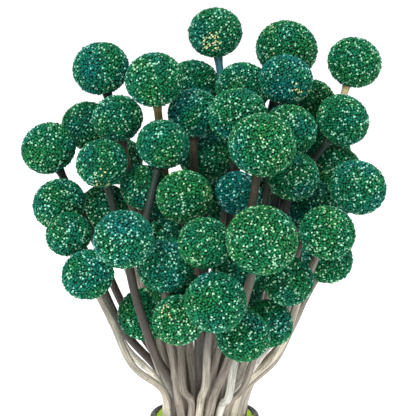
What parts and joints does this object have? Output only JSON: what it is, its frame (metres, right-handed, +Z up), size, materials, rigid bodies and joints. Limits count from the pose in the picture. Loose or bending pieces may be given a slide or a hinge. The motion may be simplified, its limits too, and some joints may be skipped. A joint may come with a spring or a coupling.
{
  "type": "bunch of dried billy buttons in a vase",
  "caption": "Bunch of round dyed flower heads on bare dried stems, fanning out of a slim-necked glass vase.",
  "frame": {"origin": "middle of the vase's base, on the surface that it stands on", "axes": "+Z up along the vase's axis, the longest way, and -Y towards the side that the picture shows"},
  "size_m": [0.154, 0.1535, 0.3191],
  "materials": {
    "vase_glass": "clear, polished",
    "dried_stem": "dry, grained",
    "dyed_florets": "matt, dyed"
  },
  "bodies": {
    "root": {"vase": "vase_glass", "stems_1": "dried_stem", "stems_2": "dried_stem", "stems_3": "dried_stem", "stems_4": "dried_stem", "stems_5": "dried_stem", "head_01": "dyed_florets", "head_02": "dyed_florets", "head_03": "dyed_florets", "head_04": "dyed_florets", "head_05": "dyed_florets", "head_06": "dyed_florets", "head_07": "dyed_florets", "head_08": "dyed_florets", "head_09": "dyed_florets", "head_10": "dyed_florets", "head_11": "dyed_florets", "head_12": "dyed_florets", "head_13": "dyed_florets", "head_14": "dyed_florets", "head_15": "dyed_florets", "head_16": "dyed_florets", "head_17": "dyed_florets", "head_18": "dyed_florets", "head_19": "dyed_florets", "head_20": "dyed_florets", "head_21": "dyed_florets", "head_22": "dyed_florets", "head_23": "dyed_florets", "head_24": "dyed_florets", "head_25": "dyed_florets", "head_26": "dyed_florets", "head_27": "dyed_florets", "head_28": "dyed_florets", "head_29": "dyed_florets", "head_30": "dyed_florets", "head_31": "dyed_florets", "head_32": "dyed_florets", "head_33": "dyed_florets", "head_34": "dyed_florets", "head_35": "dyed_florets", "head_36": "dyed_florets", "head_37": "dyed_florets", "head_38": "dyed_florets", "head_39": "dyed_florets", "head_40": "dyed_florets", "head_41": "dyed_florets", "head_42": "dyed_florets", "head_43": "dyed_florets", "head_44": "dyed_florets", "head_45": "dyed_florets", "head_46": "dyed_florets", "head_47": "dyed_florets", "head_48": "dyed_florets", "head_49": "dyed_florets", "head_50": "dyed_florets", "head_51": "dyed_florets", "head_52": "dyed_florets", "head_53": "dyed_florets", "head_54": "dyed_florets"}
  },
  "joints": []
}
